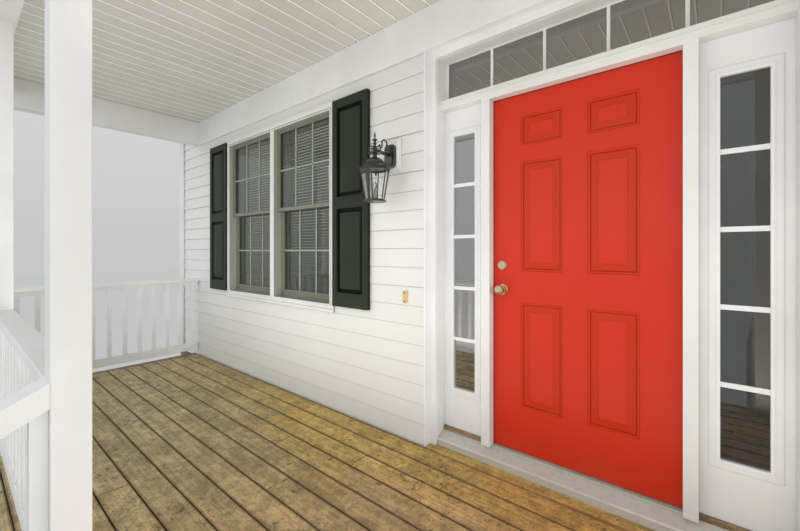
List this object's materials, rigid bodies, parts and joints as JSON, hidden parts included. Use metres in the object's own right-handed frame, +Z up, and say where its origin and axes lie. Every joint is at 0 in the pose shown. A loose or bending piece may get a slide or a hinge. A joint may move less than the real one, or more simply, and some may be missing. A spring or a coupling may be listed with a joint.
{
  "type": "entrance porch with its front door wall",
  "caption": "Covered timber entrance porch with railings and steps, and the front wall behind it with a panelled door, transom, sidelights and shuttered windows.",
  "frame": {"origin": "on the ground under the wall face, at the middle of the front door", "axes": "+X along the wall to the right as seen from the street, +Y into the house, +Z up"},
  "size_m": [9.38, 3.1295, 4.359],
  "materials": {
    "brick": "matte brick with pale mortar",
    "white_trim": "white painted boards, satin",
    "deck_timber": "weathered treated boards",
    "shingles": "matte grey asphalt shingles",
    "siding": "white lap siding",
    "ceiling_board": "white beaded boards",
    "glass": "clear",
    "lantern_glass": "clear",
    "black_metal": "black, slightly worn",
    "shutter_green": "very dark green, satin",
    "sash_vinyl": "grey green sash behind a fine screen",
    "sill_metal": "dull mill finish",
    "door_red": "glossy red",
    "satin_brass": "satin, a little worn"
  },
  "bodies": {
    "porch": {"house_foundation": "brick", "brick_skirt": "brick", "front_steps": "brick", "deck_frame": "white_trim", "deck_floor": "deck_timber", "porch_posts": "white_trim", "front_rail_left": "white_trim", "front_rail_right": "white_trim", "end_rail_left": "white_trim", "end_rail_right": "white_trim", "stair_rail_left": "white_trim", "stair_rail_right": "white_trim", "front_beam": "white_trim", "end_beams": "white_trim", "porch_ceiling": "ceiling_board", "frieze_board": "white_trim", "wall_left_of_door": "siding", "wall_right_of_door": "siding", "wall_over_door": "siding", "wall_outer_left": "siding", "wall_outer_right": "siding", "walls_below_windows": "siding", "walls_above_windows": "siding", "corner_boards": "white_trim", "roof_deck": "shingles", "eave_trim": "white_trim", "gable_ends": "white_trim", "window_frames": "white_trim", "window_sashes": "sash_vinyl", "window_glass": "glass", "shutters": "shutter_green", "lantern_blocks": "white_trim", "lantern_brackets": "black_metal", "lantern_cages": "black_metal", "lantern_glass": "lantern_glass", "door_casing": "white_trim", "door_frame": "white_trim", "door_sill": "sill_metal", "transom_sash": "white_trim", "transom_glass": "glass", "sidelight_panels": "white_trim", "sidelight_glass": "glass", "frame_hinges": "satin_brass"},
    "door": {"door_leaf": "door_red", "leaf_hinges": "satin_brass", "door_locks": "satin_brass"},
    "knob": {"door_knob": "satin_brass"}
  },
  "joints": [
    {"name": "door_swing", "type": "hinge", "parent": "porch", "child": "door", "pos_m": [0.4605, 0.2165, 1.816], "axis": [0, 0, -1], "range_deg": [0, 90]},
    {"name": "knob_turn", "type": "hinge", "parent": "door", "child": "knob", "pos_m": [-0.397, 0.165, 1.714], "axis": [0, 1, 0], "range_deg": [-60, 60], "stiffness_Nm_per_rad": 0.3}
  ]
}
